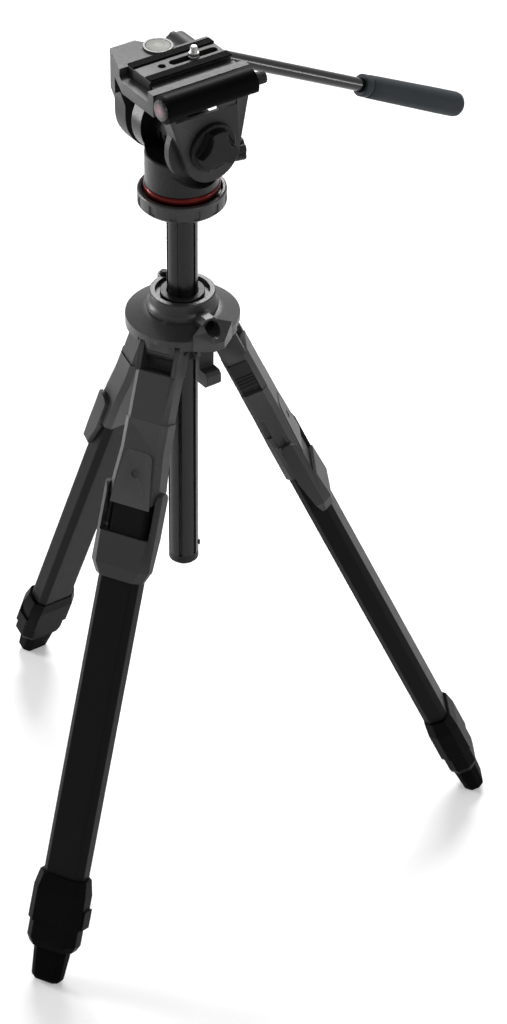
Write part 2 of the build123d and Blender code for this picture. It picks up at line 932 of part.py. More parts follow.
def spring_housing():
    """The counterbalance housing beside the drum, ribbed across its front."""
    body = about_tilt_axis(spring_radius, drum_inner, spring_outer)
    body += block(
        drum_inner, spring_outer, tilt_axis_y - spring_radius / 2, tilt_axis_y + spring_radius / 2,
        base_top, tilt_axis_z,
    )
    body &= block(
        drum_inner, spring_outer, tilt_axis_y - spring_radius, tilt_axis_y + spring_radius,
        base_top, tilt_axis_z + spring_radius,
    )
    pitch = (spring_outer - drum_inner) / spring_ribs
    front = tilt_axis_y - spring_radius
    for rib in range(spring_ribs):
        x = drum_inner + pitch * (rib + 0.5)
        body -= block(
            x - pitch / 5, x + pitch / 5, front - overshoot, front + spring_rib_depth,
            tilt_axis_z - spring_radius, tilt_axis_z,
        )
    return body - about_tilt_axis(
        tilt_shaft_radius + shaft_clearance, drum_inner - overshoot, spring_outer + overshoot
    )


def pan_lock_knob():
    outline = lobed(pan_knob_radius, 6, pan_knob_radius / 3, pan_knob_radius / 7)
    knob = extrude(outline, pan_knob_end - pan_knob_start)
    knob = Pos(pan_knob_start, 0, pan_knob_z) * Rot(0, 90, 0) * knob
    stem = rod_x(
        knob_stem_radius, base_radius - stem_depth + overshoot, pan_knob_start, 0, pan_knob_z
    )
    return Rot(0, 0, pan_knob_azimuth) * (knob + stem)


def cheek_outline():
    """The left cheek seen from the side: straight flanks that meet round a toe."""
    toe = Pos(cheek_toe_y, cheek_toe_z) * Circle(cheek_toe_radius)
    top = Line((cheek_front, slab_bottom + overshoot), (cheek_back, slab_bottom + overshoot))
    return make_hull([*toe.edges(), top])


def left_cheek():
    """The left cheek: an outer plate, a rounder inner one, and a window that slopes down inwards."""
    outline = cheek_outline()
    piece = Pos(left_cheek_inner, 0, 0) * extrude(Plane.YZ * outline, left_cheek_outer - left_cheek_inner)
    bulge = about_tilt_axis(cheek_bulge_radius, left_cheek_inner, left_cheek_inner + cheek_step)
    piece += bulge & block(
        left_cheek_inner, left_cheek_outer, cheek_front, tilt_axis_y, cheek_bulge_bottom, slab_bottom
    )
    window = make_face(Polyline(
        (left_cheek_outer + overshoot, cheek_window_z),
        (left_cheek_outer + overshoot, slab_bottom),
        (left_cheek_inner - overshoot, slab_bottom),
        (left_cheek_inner - overshoot, cheek_window_z - cheek_window_drop),
        close=True,
    ))
    window = Pos(0, cheek_window_back, 0) * extrude(
        Plane.XZ * window, cheek_window_back - cheek_window_front
    )
    return piece - window


def right_cheek_outline():
    """The right cheek seen from the side, relieved at the back for the pan bar's clamp."""
    heel_y = right_cheek_front + right_cheek_radius
    heel_z = tilt_axis_z - right_cheek_radius
    slant = right_cheek_radius * sqrt(0.5)
    top = slab_bottom + overshoot
    edge = Polyline(
        (heel_y, heel_z),
        (right_cheek_back, heel_z),
        (right_cheek_back, right_cheek_back_z),
        (right_cheek_relief, right_cheek_relief_z),
        (right_cheek_relief, top),
        (slab_front, top),
        (slab_front, right_cheek_shoulder),
        (right_cheek_shoulder_front, right_cheek_shoulder),
        (right_cheek_front, right_cheek_waist),
        (right_cheek_front, tilt_axis_z),
    )
    edge += ThreePointArc(
        (right_cheek_front, tilt_axis_z), (heel_y - slant, tilt_axis_z - slant), (heel_y, heel_z)
    )
    return make_face(edge)


def right_cheek():
    """The right cheek, drafted inwards towards its foot."""
    foot_z = tilt_axis_z - right_cheek_radius
    draft = make_face(Polyline(
        (right_cheek_outer - overshoot, right_cheek_draft_z),
        (right_cheek_outer, right_cheek_draft_z),
        (right_cheek_outer + right_cheek_draft, foot_z),
        (right_cheek_outer - overshoot, foot_z),
        close=True,
    ))
    thickness = right_cheek_inner - right_cheek_outer
    piece = Pos(right_cheek_outer, 0, 0) * extrude(Plane.YZ * right_cheek_outline(), thickness)
    piece -= extrude(Plane.XZ * draft, 2 * right_cheek_radius, both=True)
    return piece & (Pos(0, 0, foot_z) * extrude(platform_outline(), slab_top - foot_z))


def platform_outline():
    """The platform seen from above: its right flank runs back past the bubble level to the rosette."""
    outline = make_face(Polyline(
        (right_cheek_outer, block_front),
        (plate_x - plate_width / 4, slab_front),
        (slab_left, slab_front),
        (slab_left, slab_back),
        (rosette_face, slab_back),
        (rosette_face, level_y),
        (level_x - level_radius / 2, level_y),
        (right_cheek_outer, block_back),
        close=True,
    ))
    return outline + Pos(level_x, level_y) * Circle(level_radius + level_boss)


def platform():
    body = Pos(0, 0, slab_bottom) * extrude(platform_outline(), rail_top - slab_bottom)
    far = 2 * slab_back
    body -= block(plate_shoulder, rail_inner, -far, far, slab_top, rail_top + overshoot)
    body -= block(2 * right_cheek_outer, plate_shoulder, -far, far, block_top, rail_top + overshoot)
    return body + block(jaw_inner, rail_inner, plate_front, plate_back, slab_top, jaw_top)


def tilt_frame():
    frame = platform() + left_cheek() + right_cheek()
    frame += rod_x(rosette_radius, rosette_face, plate_shoulder, rosette_y, rosette_z)
    frame += block(
        rail_inner, barrel_x + barrel_axle_radius, barrel_back + turning_gap, barrel_lug_end,
        barrel_z - 2 * barrel_axle_radius, barrel_z + barrel_axle_radius,
    )
    frame += rod_y(barrel_axle_radius, barrel_axle_front, barrel_lug_end, barrel_x, barrel_z)
    frame -= rod_y(
        drag_stem_radius + stem_clearance, barrel_lug_end - drag_stem_length, barrel_lug_end + overshoot,
        barrel_x, barrel_z,
    )
    frame -= about_tilt_axis(tilt_shaft_radius + seat_gap, shaft_end, left_cheek_outer + overshoot)
    frame -= rod_x(
        knob_stem_radius + stem_clearance, rosette_face - overshoot, rosette_face + stem_depth,
        rosette_y, rosette_z,
    )
    return frame - rod_z(level_radius, block_top - level_seat, rail_top, level_x, level_y)


def tilt_shaft():
    shaft = about_tilt_axis(tilt_shaft_radius, shaft_end, left_cheek_outer)
    return shaft - about_tilt_axis(
        knob_stem_radius + stem_clearance, left_cheek_outer - stem_depth, left_cheek_outer + overshoot
    )


def tilt_knob():
    start = left_cheek_outer + turning_gap
    step = start + tilt_knob_disc
    disc = about_tilt_axis(tilt_knob_radius, start, step)
    disc = chamfer(disc.edges().group_by(Axis.X)[-1], tilt_knob_edge)
    outline = lobed(tilt_grip_radius, tilt_grip_lobes, tilt_grip_scallop, tilt_grip_depth)
    grip = extrude(Rot(0, 0, tilt_grip_turn) * outline, tilt_knob_end - step)
    grip = Pos(step, tilt_axis_y, tilt_axis_z) * Rot(0, 90, 0) * Rot(0, 0, 90) * grip
    stem = about_tilt_axis(knob_stem_radius, left_cheek_outer - stem_depth + overshoot, start)
    return disc + grip + stem


def bubble_level():
    seat = block_top - level_seat
    cup = rod_z(level_radius, seat, block_top + level_rise, level_x, level_y)
    return cup - rod_z(vial_radius, seat + vial_floor, block_top + 2 * level_rise, level_x, level_y)


def level_vial():
    vial = rod_z(vial_radius, block_top - level_seat + vial_floor, block_top + vial_rise, level_x, level_y)
    return chamfer(vial.edges().group_by(Axis.Z)[-1], vial_floor / 2)


def plate_lock_barrel():
    barrel = rod_y(barrel_radius, barrel_front, barrel_back, barrel_x, barrel_z)
    barrel -= block(
        barrel_x - 2 * barrel_radius, barrel_x + 2 * barrel_radius,
        barrel_front + barrel_nose, barrel_back + overshoot,
        barrel_z - 2 * barrel_radius, barrel_z - barrel_flat,
    )
    return barrel - rod_y(
        barrel_axle_radius + shaft_clearance, barrel_axle_front - overshoot, barrel_back + overshoot,
        barrel_x, barrel_z,
    )


def barrel_cap():
    cap = rod_y(barrel_cap_radius, barrel_front - barrel_cap_length, barrel_front, barrel_x, barrel_z)
    return chamfer(cap.edges().group_by(Axis.Y)[0], barrel_cap_length / 3)


def drag_knob():
    start = barrel_lug_end + turning_gap
    outline = lobed(drag_knob_radius, drag_knob_lobes, drag_knob_radius / 8, drag_knob_radius / 14)
    knob = Pos(barrel_x, start, barrel_z) * Rot(-90, 0, 0) * extrude(outline, drag_knob_length)
    stem = rod_y(drag_stem_radius, start - drag_stem_length, start, barrel_x, barrel_z)
    return knob + stem


# ---- quick plate ----
def quick_plate():
    half = plate_width / 2
    waist = half - plate_dovetail
    middle = (slab_top + plate_top) / 2
    right = [(half, slab_top), (waist, middle), (half, plate_top)]
    left = [(-x, z) for x, z in reversed(right)]
    profile = make_face(Polyline(*right, *left, close=True))
    plate = Pos(plate_x, plate_back, 0) * extrude(Plane.XZ * profile, plate_back - plate_front)
    plate -= screw_slot(plate_slot_width / 2, slab_top - overshoot, plate_top + overshoot)
    plate -= screw_slot(
        screw_head_radius + screw_pocket_gap, slab_top - overshoot, slab_top + screw_pocket
    )
    return plate - rod_z(plate_hole_radius, slab_top, plate_top + overshoot, plate_x, plate_hole_y)


def screw_slot(half_width, z_from, z_to):
    """A round-ended slot along the plate."""
    slot = block(
        plate_x - half_width, plate_x + half_width, plate_slot_front, plate_slot_back, z_from, z_to
    )
    slot += rod_z(half_width, z_from, z_to, plate_x, plate_slot_front)
    return slot + rod_z(half_width, z_from, z_to, plate_x, plate_slot_back)


def plate_pads():
    edge = plate_x + plate_width / 2
    right = block(edge - pad_width, edge, plate_front, plate_back, plate_top, plate_top + pad_thickness)
    left = Pos(pad_width - plate_width, 0, 0) * right
    return Compound([right.solid(), left.solid()])


def camera_screw():
    bottom = slab_top + turning_gap
    screw = rod_z(screw_head_radius, bottom, bottom + screw_head, plate_x, screw_y)
    screw += rod_z(screw_neck_radius, bottom, screw_collar_top, plate_x, screw_y)
    screw += rod_z(screw_collar_radius, plate_top + turning_gap, screw_collar_top, plate_x, screw_y)
    thread = rod_z(screw_radius, screw_collar_top, screw_collar_top + screw_reach, plate_x, screw_y)
    return screw + chamfer(thread.edges().group_by(Axis.Z)[-1], screw_tip)


# ---- pan bar, made along +X from the rosette axis ----
def along_bar(piece):
    return Pos(bar_x, rosette_y, rosette_z) * Rot(0, 0, 90) * Rot(0, bar_drop, 0) * piece


def bar_clamp():
    outer = rosette_face - bar_clamp_thickness
    clamp = rod_x(bar_clamp_radius, outer, rosette_face, rosette_y, rosette_z)
    clamp = chamfer(clamp.edges().group_by(Axis.X)[0], bar_clamp_edge)
    socket = rod_x(bar_socket_radius, 0, bar_socket_length)
    socket &= block(
        0, bar_socket_length, -bar_offset, bar_socket_radius, -bar_socket_radius, bar_socket_radius
    )
    clamp += along_bar(socket)
    clamp -= along_bar(rod_x(bar_radius + seat_gap, bar_insert, bar_socket_length + overshoot))
    return clamp - rod_x(
        knob_stem_radius + stem_clearance, outer - overshoot, rosette_face + overshoot, rosette_y, rosette_z
    )


def bar_clamp_knob():
    start = rosette_face - bar_clamp_thickness - turning_gap
    outline = lobed(clamp_knob_radius, 5, clamp_knob_radius / 2, clamp_knob_radius / 8)
    knob = extrude(outline, clamp_knob_length)
    knob = Pos(start, rosette_y, rosette_z) * Rot(0, -90, 0) * knob
    return knob + rod_x(
        knob_stem_radius, start, rosette_face + stem_depth - overshoot, rosette_y, rosette_z
    )


def pan_bar():
    return along_bar(rod_x(bar_radius, bar_insert, bar_insert + bar_length))


def bar_grip():
    end = grip_start + grip_length
    corner = grip_radius / 3
    grip = turned([
        (0, grip_start),
        (grip_radius - grip_mouth, grip_start),
        (grip_radius, grip_start + grip_mouth),
        (grip_end_radius, end - grip_radius),
        (grip_end_radius, end - corner),
        (grip_end_radius - corner, end),
        (0, end),
    ])
    grip = Rot(0, 90, 0) * grip
    pitch = grip_radius / 2
    for groove in range(grip_grooves):
        x = grip_start + grip_radius + groove * pitch
        ring = rod_x(2 * grip_radius, x, x + pitch / 3)
        grip -= ring - rod_x(grip_radius - grip_groove_depth, x, x + pitch / 3)
    return along_bar(grip - rod_x(bar_radius + seat_gap, grip_start - overshoot, bar_insert + bar_length))


def head_nodes():
    pieces = {
        "center_column": center_column(),
        "column_end_cap": column_end_cap(),
        "mounting_collar": mounting_collar(),
        "index_ring": index_ring(),
        "pan_housing": pan_housing(),
        "spring_housing": spring_housing(),
        "pan_lock_knob": pan_lock_knob(),
        "tilt_frame": tilt_frame(),
        "tilt_shaft": tilt_shaft(),
        "tilt_knob": tilt_knob(),
        "bubble_level": bubble_level(),
        "level_vial": level_vial(),
        "plate_lock_barrel": plate_lock_barrel(),
        "barrel_cap": barrel_cap(),
        "drag_knob": drag_knob(),
        "quick_plate": quick_plate(),
        "plate_pads": plate_pads(),
        "camera_screw": camera_screw(),
        "bar_clamp": bar_clamp(),
        "bar_clamp_knob": bar_clamp_knob(),
        "pan_bar": pan_bar(),
        "bar_grip": bar_grip(),
    }
    return {name: Pos(0, 0, hip_height + column_rise) * piece for name, piece in pieces.items()}


def assemble():
    nodes = hub_nodes() | head_nodes()
    for index in range(leg_count):
        nodes |= leg_nodes(index)
    return nodes


def origin_shift(nodes):
    """Moves the origin to the middle of the footprint, at floor level."""
    boxes = [piece.bounding_box() for piece in nodes.values()]
    low = [min(tuple(box.min)[axis] for box in boxes) for axis in range(3)]
    high = [max(tuple(box.max)[axis] for box in boxes) for axis in range(3)]
    return Pos(-(low[0] + high[0]) / 2, -(low[1] + high[1]) / 2, -low[2])


def main():
    os.makedirs("parts", exist_ok=True)
    nodes = assemble()
    shift = origin_shift(nodes)
    for name, piece in nodes.items():
        export_step(shift * piece, f"parts/{name}.step")
    return nodes, shift


if __name__ == "__main__":
    main()
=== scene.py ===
import json
from math import cos, pi, radians, sin, tau

import bmesh
import bpy
import numpy
from mathutils import Matrix, Vector


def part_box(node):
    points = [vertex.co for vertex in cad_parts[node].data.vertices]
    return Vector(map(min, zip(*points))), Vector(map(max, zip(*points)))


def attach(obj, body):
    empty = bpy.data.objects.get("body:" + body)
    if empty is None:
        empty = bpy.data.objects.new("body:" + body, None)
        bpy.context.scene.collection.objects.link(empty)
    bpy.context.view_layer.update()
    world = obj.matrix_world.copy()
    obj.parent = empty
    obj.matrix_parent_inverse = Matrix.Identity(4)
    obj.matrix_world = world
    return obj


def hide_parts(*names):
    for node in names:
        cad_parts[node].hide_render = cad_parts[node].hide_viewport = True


# A video tripod with a fluid head, dressed for its portrait. Metres, in the frame of the CAD parts.

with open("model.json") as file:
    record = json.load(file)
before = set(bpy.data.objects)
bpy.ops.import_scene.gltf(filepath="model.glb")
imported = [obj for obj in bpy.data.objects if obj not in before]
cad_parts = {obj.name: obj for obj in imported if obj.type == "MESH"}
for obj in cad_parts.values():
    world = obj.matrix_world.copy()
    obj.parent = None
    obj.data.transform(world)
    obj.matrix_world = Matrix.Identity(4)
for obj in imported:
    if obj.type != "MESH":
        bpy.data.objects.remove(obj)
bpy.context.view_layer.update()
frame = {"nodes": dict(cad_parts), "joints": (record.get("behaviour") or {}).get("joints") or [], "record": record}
record = frame["record"]
joints = {joint["name"]: joint for joint in frame["joints"]}
body_of = {node: body for body, nodes in record["behaviour"]["bodies"].items() for node in nodes}
slot_of = {part["node"]: part["material_slot"] for part in record["subparts"]}
legs = ("leg_1", "leg_2", "leg_3")
mm = 0.001

# ---- camera of the portrait ----
focal_length = 118.68          # in mm, as the sensor's height
sensor_height = 36
axis_shift = 0.046582          # of the optical axis, left of the middle, as a share of the picture's height
camera_azimuth = 56.1          # degrees
camera_pitch = 36.576          # degrees below the horizon
camera_distance = 2.3155       # from the column axis, measured along the floor
camera_side = 0.019            # to the camera's own right of the column axis
camera_height = 2.0404

# ---- what all finishes share ----
cloud_size = 40 * mm
cloud_detail = 3.0
cloud_lift = 1.6               # how many times lighter a clouded patch can be
wear_and_painted_highlight_lift = 2.0                # how many times lighter a worn edge with its painted highlight is, after this is added to its color
wear_and_painted_highlight_grey = 0.05               # this is added to its color
wear_and_painted_highlight_from = 0.52               # pointiness at which wear and painted highlight start
wear_and_painted_highlight_to = 0.6                  # pointiness at which wear and painted highlight are full
relief = 0.6                   # strength of the bump

# ---- what both glazings share ----
haze_size = 3 * mm
haze_color = (0.2, 0.2, 0.19, 1)
haze_share = 0.25
glazing_specular = 0.25

# ---- meshes ----
weld_distance = 0.001 * mm
flat_tolerance = 0.05          # degrees between facets that count as one flat
smooth_angle = 38              # degrees up to which neighbouring facets are shaded as one curve
edge_angle = 32                # degrees from which an edge is broken
edge_segments = 2

# ---- light: places are to the camera's right, away from it and up, from the foot of the column ----
lamp_target = (0, 0, 0.4)
lamps = {
    "key": {"place": (-2.3, 0.7, 0.7), "size": (0.7, 1.3), "power": 55},
    "back": {"place": (0.2, 2.4, 2.6), "size": (1.6, 0.7), "power": 110},
    "fill": {"place": (1.6, -2.0, 2.2), "size": (0.8, 0.8), "power": 15},
    "rim": {"place": (2.3, -0.3, 0.65), "size": (0.16, 1.0), "power": 8},
}
ambient = 0.3
ceiling = 0.3                  # strength that gloss meets overhead, where the horizon has 1
ceiling_start = 0.1            # sine of the height over the horizon at which the darkening starts
ceiling_end = 0.6
floor_size = 12
floor_white = (0.9, 0.9, 0.9, 1)
floor_roughness = 0.9
floor_glow = 0.2               # under the object, and 1 where the fade has ended
fade_start = 0.7               # from the middle of the floor
fade_end = 2.0


# ---- shader nodes ----
def new_material(name):
    material = bpy.data.materials.new(name)
    material.use_nodes = True
    return material, material.node_tree.nodes, material.node_tree.links


def feed(links, socket, value):
    """Sets a socket from another node's output, or to a plain value."""
    if isinstance(value, bpy.types.NodeSocket):
        links.new(value, socket)
    else:
        socket.default_value = value


def calculated(nodes, links, operation, first, second):
    node = nodes.new("ShaderNodeMath")
    node.operation = operation
    feed(links, node.inputs[0], first)
    feed(links, node.inputs[1], second)
    return node.outputs[0]


def length_of(nodes, links, vector):
    node = nodes.new("ShaderNodeVectorMath")
    node.operation = "LENGTH"
    links.new(vector, node.inputs[0])
    return node.outputs["Value"]


def grain(nodes, links, size, stretch=(1, 1, 1), detail=4.0):
    """Noise whose features measure about size metres, drawn out along an axis by stretch."""
    place = nodes.new("ShaderNodeTexCoord")
    mapping = nodes.new("ShaderNodeMapping")
    mapping.inputs["Scale"].default_value = [1 / (size * s) for s in stretch]
    noise = nodes.new("ShaderNodeTexNoise")
    noise.inputs["Scale"].default_value = 1.0
    noise.inputs["Detail"].default_value = detail
    links.new(place.outputs["Object"], mapping.inputs["Vector"])
    links.new(mapping.outputs["Vector"], noise.inputs["Vector"])
    return noise.outputs["Fac"]


def spread(nodes, links, value, low, high, start=0.3, end=0.7):
    """Maps a value that runs from start to end onto a range; noise mostly lies within the defaults."""
    node = nodes.new("ShaderNodeMapRange")
    node.inputs["From Min"].default_value = start
    node.inputs["From Max"].default_value = end
    node.inputs["To Min"].default_value = low
    node.inputs["To Max"].default_value = high
    links.new(value, node.inputs["Value"])
    return node.outputs["Result"]


def shade(color, factor):
    return (*[channel * factor for channel in color], 1.0)


def mixed(nodes, links, factor, first, second):
    node = nodes.new("ShaderNodeMix")
    node.data_type = "RGBA"
    feed(links, node.inputs["A"], first)
    feed(links, node.inputs["B"], second)
    links.new(factor, node.inputs["Factor"])
    return node.outputs["Result"]


# ---- finishes ----
def surface(
    name, color, roughness, metallic=0.0, size=0.6 * mm, stretch=(1, 1, 1), depth=0.05 * mm,
    speckle=0.25, cloud=0.12, wear_and_painted_highlight=0.0, roughness_spread=0.1, coat=0.0, specular=0.5,
):
    """One moulded, painted or machined finish, with its grain, its clouding, and its edges lightened as wear and
    as a painted highlight.
    """
    material, nodes, links = new_material(name)
    shader = nodes["Principled BSDF"]
    fine = grain(nodes, links, size, stretch)
    broad = grain(nodes, links, cloud_size, detail=cloud_detail)
    speckled = mixed(
        nodes, links, spread(nodes, links, fine, 0, 1),
        shade(color, 1 - speckle), shade(color, 1 + speckle),
    )
    lifted = shade(color, cloud_lift)
    clouded = mixed(nodes, links, spread(nodes, links, broad, 0, cloud), speckled, lifted)
    # Edges lightened by pointiness: partly wear, partly a painted highlight along the edges.
    if wear_and_painted_highlight:
        geometry = nodes.new("ShaderNodeNewGeometry")
        edge_wear_and_painted_highlight = spread(nodes, links, geometry.outputs["Pointiness"], 0, wear_and_painted_highlight, wear_and_painted_highlight_from, wear_and_painted_highlight_to)
        worn_and_painted_highlight = shade([channel + wear_and_painted_highlight_grey for channel in color], wear_and_painted_highlight_lift)
        clouded = mixed(nodes, links, edge_wear_and_painted_highlight, clouded, worn_and_painted_highlight)
    links.new(clouded, shader.inputs["Base Color"])
    rough = spread(nodes, links, fine, roughness - roughness_spread, roughness + roughness_spread)
    links.new(rough, shader.inputs["Roughness"])
    shader.inputs["Metallic"].default_value = metallic
    shader.inputs["Specular IOR Level"].default_value = specular
    shader.inputs["Coat Weight"].default_value = coat
    bump = nodes.new("ShaderNodeBump")
    bump.inputs["Strength"].default_value = relief
    bump.inputs["Distance"].default_value = depth
    links.new(fine, bump.inputs["Height"])
    links.new(bump.outputs["Normal"], shader.inputs["Normal"])
    return material


def lens(name, bands, roughness=0.16):
    """Glazing banded round its own Z axis: (distance in mm, color) from the middle outwards."""
    material, nodes, links = new_material(name)
    shader = nodes["Principled BSDF"]
    place = nodes.new("ShaderNodeTexCoord")
    flat = nodes.new("ShaderNodeVectorMath")
    flat.operation = "MULTIPLY"
    flat.inputs[1].default_value = (1, 1, 0)
    links.new(place.outputs["Object"], flat.inputs[0])
    distance = length_of(nodes, links, flat.outputs["Vector"])
    outer = bands[-1][0]
    ramp = nodes.new("ShaderNodeValToRGB")
    links.new(spread(nodes, links, distance, 0, 1, 0, outer * mm), ramp.inputs["Fac"])
    stops = ramp.color_ramp.elements
    while len(stops) < len(bands):
        stops.new(0.5)
    for stop, (radius, color) in zip(stops, bands):
        stop.position = radius / outer
        stop.color = (*color, 1)
    cloud = grain(nodes, links, haze_size)
    haze = spread(nodes, links, cloud, 0, haze_share)
    tinted = mixed(nodes, links, haze, ramp.outputs["Color"], haze_color)
    links.new(tinted, shader.inputs["Base Color"])
    rough = spread(nodes, links, cloud, roughness - 0.04, roughness + 0.06)
    links.new(rough, shader.inputs["Roughness"])
    shader.inputs["Specular IOR Level"].default_value = glazing_specular
    return material


along_leg = (1, 1, 60)
cast = {"size": 0.8 * mm, "depth": 0.1 * mm, "wear_and_painted_highlight": 0.35, "speckle": 0.3}
finishes = {
    "hub_grey": surface("hub_paint", (0.024, 0.024, 0.025), 0.37, specular=0.32, **cast),
    "leg_casting_grey": surface("leg_paint", (0.034, 0.034, 0.0345), 0.46, specular=0.18, **cast),
    "lever_grey": surface("lever_moulding", (0.024, 0.024, 0.0245), 0.5, specular=0.16, **cast),
    "tube_black": surface(
        "tube_anodising", (0.0055, 0.0053, 0.0055), 0.4, size=0.25 * mm, stretch=along_leg,
        depth=0.01 * mm, speckle=0.2, cloud=0.1, wear_and_painted_highlight=0.1, specular=0.035,
    ),
    "inner_tube_black": surface(
        "inner_tube_anodising", (0.012, 0.012, 0.0125), 0.34, metallic=0.3, size=0.25 * mm,
        stretch=along_leg, depth=0.01 * mm, speckle=0.2, wear_and_painted_highlight=0.2, specular=0.15,
    ),
    "collar_black": surface("collar_moulding", (0.0022, 0.0022, 0.0024), 0.45, specular=0.03),
    "foot_rubber": surface("foot_rubber", (0.0018, 0.0018, 0.0019), 0.62, size=0.7 * mm, specular=0.02),
    "column_black": surface(
        "column_anodising", (0.028, 0.028, 0.029), 0.26, metallic=0.85, size=0.25 * mm,
        stretch=along_leg, depth=0.01 * mm, speckle=0.15, specular=0.2,
    ),
    "cap_black": surface("cap_moulding", (0.014, 0.014, 0.0145), 0.5, specular=0.15),
    "bushing_black": surface("bushing_plastic", (0.008, 0.008, 0.008), 0.4, size=0.3 * mm, specular=0.2),
    "steel": surface(
        "bright_steel", (0.38, 0.38, 0.37), 0.3, metallic=1.0, size=0.3 * mm, depth=0.01 * mm,
        speckle=0.08, cloud=0.05,
    ),
    "collar_grey": surface("mount_paint", (0.024, 0.023, 0.023), 0.36, specular=0.4, **cast),
    "index_red": surface(
        "red_anodising", (0.075, 0.003, 0.002), 0.25, metallic=0.8, size=0.25 * mm, depth=0.005 * mm,
        speckle=0.1, cloud=0.05,
    ),
    "head_grey": surface("head_paint", (0.02, 0.02, 0.0205), 0.48, specular=0.21, **cast),
    "spring_black": surface("spring_housing", (0.002, 0.002, 0.0022), 0.5, specular=0.1),
    "knob_black": surface("grip_moulding", (0.007, 0.007, 0.0074), 0.5, specular=0.15, wear_and_painted_highlight=0.2),
    "barrel_black": surface("barrel_paint", (0.0016, 0.0016, 0.0017), 0.42, specular=0.025),
    "cap_pink": surface("barrel_lens", (0.16, 0.085, 0.10), 0.3, speckle=0.1, coat=0.1),
    "plate_grey": surface(
        "plate_anodising", (0.014, 0.014, 0.014), 0.4, metallic=0.2, size=0.3 * mm, depth=0.01 * mm,
        speckle=0.12, cloud=0.08, wear_and_painted_highlight=0.3, specular=0.14,
    ),
    "pad_rubber": surface("pad_rubber", (0.0015, 0.0015, 0.0015), 0.6, specular=0.03),
    "level_grey": surface("level_cup", (0.05, 0.05, 0.049), 0.4, size=0.4 * mm),
    "level_fluid": surface(
        "level_lens", (0.27, 0.265, 0.24), 0.3, size=2 * mm, depth=0.004 * mm, speckle=0.04,
        roughness_spread=0.05, specular=0.2,
    ),
    "rod_black": surface(
        "rod_gloss", (0.008, 0.008, 0.0085), 0.16, size=0.3 * mm, depth=0.002 * mm, speckle=0.1,
        roughness_spread=0.03, specular=0.4,
    ),
    "grip_rubber": surface(
        "grip_sleeve", (0.024, 0.030, 0.036), 0.65, size=0.9 * mm, depth=0.2 * mm, speckle=0.35,
        specular=0.2,
    ),
}
# A lighter copy of the leg paint for the clamps: painted light, standing in for the light that falls on them.
painted_light_clamp_finish = surface("clamp_paint_with_painted_light", (0.05, 0.05, 0.0505), 0.48, specular=0.18, **cast)
turned_finish = surface(
    "satin_turned", (0.010, 0.010, 0.0115), 0.34, metallic=0.2, size=0.4 * mm, stretch=(1, 1, 12),
    depth=0.01 * mm, speckle=0.15, cloud=0.1, specular=0.3,
)
# Steel darkened nearly to black: painted shade, for the shadow in the accessory socket's bore.
socket_painted_shade_finish = surface(
    "steel_painted_shade", (0.02, 0.019, 0.018), 0.4, metallic=0.4, size=0.3 * mm, depth=0.02 * mm,
    speckle=0.2, specular=0.2,
)
level_glass = lens("level_glass", [
    (0, (0.19, 0.19, 0.16)), (2.4, (0.20, 0.20, 0.17)), (2.7, (0.11, 0.11, 0.09)),
    (3.1, (0.17, 0.17, 0.14)), (4.4, (0.16, 0.16, 0.13)), (4.6, (0.06, 0.06, 0.05)),
    (5.0, (0.06, 0.06, 0.05)), (5.2, (0.15, 0.15, 0.12)), (9.2, (0.14, 0.135, 0.11)),
    (10.4, (0.08, 0.08, 0.07)),
], roughness=0.45)
barrel_glass = lens("barrel_glass", [
    (0, (0.34, 0.19, 0.22)), (3.2, (0.22, 0.11, 0.13)), (5.4, (0.13, 0.06, 0.07)),
    (5.9, (0.02, 0.018, 0.018)), (8.6, (0.008, 0.008, 0.008)),
])


# ---- places ----
def middle_of(node):
    low, high = [Vector(corner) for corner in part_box(node)]
    return (low + high) / 2, high - low


def leg_place(leg):
    """A leg's own frame: origin at its hip hinge, Z up the leg, X away from the column."""
    down = Vector(joints[f"{leg}_middle_slide"]["axis"])
    across = -Vector(joints[f"{leg}_spread"]["axis"])
    up = -down
    out = across.cross(up)
    place = Matrix((out, across, up)).transposed().to_4x4()
    place.translation = joints[f"{leg}_spread"]["pos_m"]
    return place


def along(direction, origin):
    """A place at origin whose Z axis runs along direction."""
    place = direction.to_track_quat("Z", "Y").to_matrix().to_4x4()
    place.translation = origin
    return place


def to_view(right, away, up):
    """A point given by how the camera sees it: to its right, away from it, and up."""
    turn = Matrix.Rotation(radians(camera_azimuth), 3, "Z")
    x, y, _ = joints["pan"]["pos_m"]
    return Vector((x, y, 0)) + turn @ Vector((right, away, up))


# ---- pieces ----
def dress(piece, node):
    """Hands a finished piece over to its CAD node's body, finish and slot."""
    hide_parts(node)
    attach(piece, body_of[node])
    piece.data.materials.clear()
    piece.data.materials.append(finishes[slot_of[node]])


def smooth(mesh):
    for face in mesh.polygons:
        face.use_smooth = True
    mesh.set_sharp_from_angle(angle=radians(smooth_angle))


def placed(name, shape):
    """An object in the scene, made from a bmesh that it uses up."""
    mesh = bpy.data.meshes.new(name)
    shape.to_mesh(mesh)
    shape.free()
    smooth(mesh)
    piece = bpy.data.objects.new(name, mesh)
    bpy.context.scene.collection.objects.link(piece)
    return piece


def in_mm(points):
    return [tuple(value * mm for value in point) for point in points]


